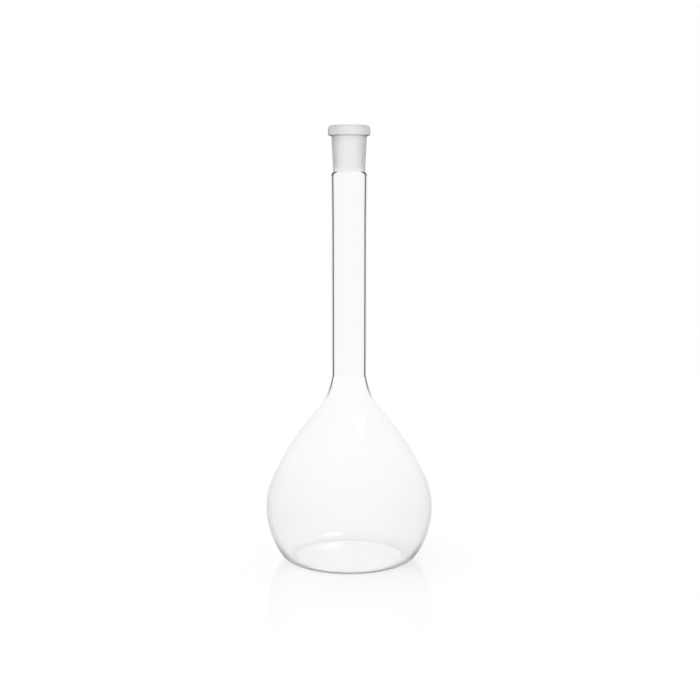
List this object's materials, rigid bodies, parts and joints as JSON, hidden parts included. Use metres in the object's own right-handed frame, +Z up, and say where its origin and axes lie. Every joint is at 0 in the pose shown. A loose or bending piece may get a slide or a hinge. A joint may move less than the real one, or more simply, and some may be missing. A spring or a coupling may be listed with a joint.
{
  "type": "long-necked flat-bottomed laboratory flask",
  "caption": "Clear glass flask with a pear-shaped bulb on a flat foot, a long straight neck, and a frosted ground taper socket with a rolled collar at its mouth.",
  "frame": {"origin": "on the table, under the middle of the foot", "axes": "+Z up along the flask's axis towards its mouth; the flask is round, so +X and +Y are free"},
  "size_m": [0.1, 0.1, 0.257],
  "materials": {
    "clear_glass": "fire-polished clear borosilicate glass",
    "ground_glass": "finely ground, frosted glass"
  },
  "bodies": {
    "root": {"bulb": "clear_glass", "neck_tube": "clear_glass", "ground_socket": "ground_glass"}
  },
  "joints": []
}
